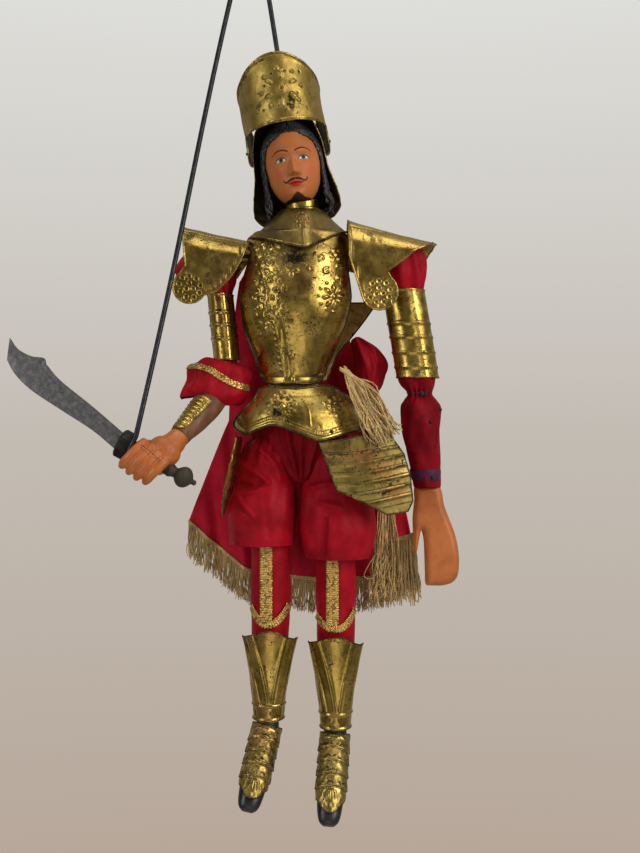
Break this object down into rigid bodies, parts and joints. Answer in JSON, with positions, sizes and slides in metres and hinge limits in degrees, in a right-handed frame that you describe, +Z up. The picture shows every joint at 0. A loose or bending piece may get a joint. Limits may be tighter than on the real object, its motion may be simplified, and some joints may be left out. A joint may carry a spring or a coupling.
{
  "type": "rod marionette",
  "caption": "Armoured knight rod marionette: wooden figure hung from an iron head rod, with a hand rod on its sword arm, brass plate armour, red cloth and gold fringe",
  "frame": {"origin": "bearing point inside the head rod's top hook, from which the whole figure hangs", "axes": "+Z up, the figure faces -Y, +X is the figure's own left"},
  "size_m": [0.4439, 0.1809, 0.9492],
  "materials": {
    "iron": "dark forged iron, satin with worn spots",
    "blade_steel": "dull grey sheet steel, scratched",
    "brass": "thin polished brass sheet with dark tarnish specks",
    "painted_skin": "carved wood painted orange tan, satin",
    "black_paint": "carved wood painted black",
    "black_hair": "black hair fibre",
    "red_cloth": "deep red satin cotton",
    "gold_thread": "dull gold twisted bullion thread",
    "bare_wood": "unfinished limewood",
    "grip_wood": "dark turned wood"
  },
  "bodies": {
    "root": {"head_rod": "iron", "head": "painted_skin", "hair_left": "black_hair", "hair_right": "black_hair", "helmet_skull": "brass", "neck_band": "brass", "visor_rivet_right": "brass", "visor_rivet_left": "brass"},
    "visor_unit": {"visor": "brass"},
    "neck_link": {"neck_ring": "iron"},
    "torso": {"neck_staple": "iron", "torso_block": "bare_wood", "shoulder_axle": "iron", "hip_axle": "iron", "breastplate": "brass", "backplate": "brass", "gorget": "brass", "gorget_back": "brass", "fauld": "brass", "breeches_seat": "red_cloth", "cape": "red_cloth", "cape_fringe": "gold_thread", "hip_knot": "red_cloth", "hip_tassel": "gold_thread", "lower_tassel": "gold_thread"},
    "arm_right": {"upper_arm_right": "red_cloth", "rerebrace_right": "brass", "pauldron_right": "brass", "elbow_swag": "red_cloth"},
    "arm_left": {"upper_arm_left": "red_cloth", "rerebrace_left": "brass", "pauldron_left": "brass"},
    "forearm_unit_right": {"forearm_right": "red_cloth", "vambrace_outer": "brass", "vambrace_inner": "brass", "fist_right": "painted_skin", "sword_blade": "blade_steel", "sword_guard": "iron", "sword_grip": "grip_wood"},
    "hand_rod_unit": {"hand_rod": "iron"},
    "forearm_unit_left": {"forearm_left": "red_cloth", "hand_left": "painted_skin"},
    "tasset_unit_right": {"tasset_right": "brass"},
    "tasset_unit_left": {"tasset_left": "brass"},
    "thigh_unit_right": {"thigh_right": "bare_wood", "breeches_right": "red_cloth", "hose_right": "red_cloth", "knee_pin_right": "iron"},
    "shin_unit_right": {"shin_right": "red_cloth", "greave_right": "brass", "boot_right": "black_paint", "sabaton_right": "brass"},
    "thigh_unit_left": {"thigh_left": "bare_wood", "breeches_left": "red_cloth", "hose_left": "red_cloth", "knee_pin_left": "iron"},
    "shin_unit_left": {"shin_left": "red_cloth", "greave_left": "brass", "boot_left": "black_paint", "sabaton_left": "brass"}
  },
  "joints": [
    {"name": "visor_tilt", "type": "hinge", "parent": "root", "child": "visor_unit", "pos_m": [0.04081, 0, -0.25621], "axis": [0.9875, 0, 0.1573], "range_deg": [0, 45]},
    {"name": "neck_swing", "type": "hinge", "parent": "root", "child": "neck_link", "pos_m": [0.0515, 0, -0.3235], "axis": [-1, 0, 0], "range_deg": [-8, 8]},
    {"name": "neck_lean", "type": "hinge", "parent": "neck_link", "child": "torso", "pos_m": [0.0515, 0, -0.3395], "axis": [0, 1, 0], "range_deg": [-6, 6]},
    {"name": "shoulder_right", "type": "hinge", "parent": "torso", "child": "arm_right", "pos_m": [-0.0385, 0, -0.37], "axis": [-1, 0, 0], "range_deg": [-5, 45]},
    {"name": "shoulder_left", "type": "hinge", "parent": "torso", "child": "arm_left", "pos_m": [0.15, 0, -0.37], "axis": [-1, 0, 0], "range_deg": [-5, 60]},
    {"name": "elbow_right", "type": "hinge", "parent": "arm_right", "child": "forearm_unit_right", "pos_m": [-0.025, -0.008, -0.503], "axis": [-1, 0, 0], "range_deg": [-10, 30]},
    {"name": "elbow_left", "type": "hinge", "parent": "arm_left", "child": "forearm_unit_left", "pos_m": [0.172, 0, -0.507], "axis": [-1, 0, 0], "range_deg": [0, 60]},
    {"name": "hand_rod_pivot", "type": "hinge", "parent": "forearm_unit_right", "child": "hand_rod_unit", "pos_m": [-0.1118, -0.1015, -0.5758], "axis": [-1, 0, 0], "range_deg": [-30, 10]},
    {"name": "tasset_right_lift", "type": "hinge", "parent": "torso", "child": "tasset_unit_right", "pos_m": [-0.0135, -0.012, -0.556], "axis": [0, 1, 0], "range_deg": [-2, 24]},
    {"name": "tasset_left_lift", "type": "hinge", "parent": "torso", "child": "tasset_unit_left", "pos_m": [0.102, -0.06, -0.5625], "axis": [-1, 0, 0], "range_deg": [-5, 60]},
    {"name": "hip_right", "type": "hinge", "parent": "torso", "child": "thigh_unit_right", "pos_m": [0.015, 0, -0.585], "axis": [-1, 0, 0], "range_deg": [-5, 60]},
    {"name": "knee_right", "type": "hinge", "parent": "thigh_unit_right", "child": "shin_unit_right", "pos_m": [0.0185, 0, -0.7325], "axis": [1, 0, 0], "range_deg": [0, 45]},
    {"name": "hip_left", "type": "hinge", "parent": "torso", "child": "thigh_unit_left", "pos_m": [0.083, 0, -0.585], "axis": [-1, 0, 0], "range_deg": [-5, 60]},
    {"name": "knee_left", "type": "hinge", "parent": "thigh_unit_left", "child": "shin_unit_left", "pos_m": [0.086, 0, -0.738], "axis": [1, 0, 0], "range_deg": [0, 45]}
  ],
  "couplings": [
    {"joint": "hand_rod_pivot", "follows": "elbow_right", "ratio": -1},
    {"joint": "tasset_left_lift", "follows": "hip_left", "ratio": 1},
    {"joint": "tasset_right_lift", "follows": "hip_right", "ratio": 0.4}
  ]
}
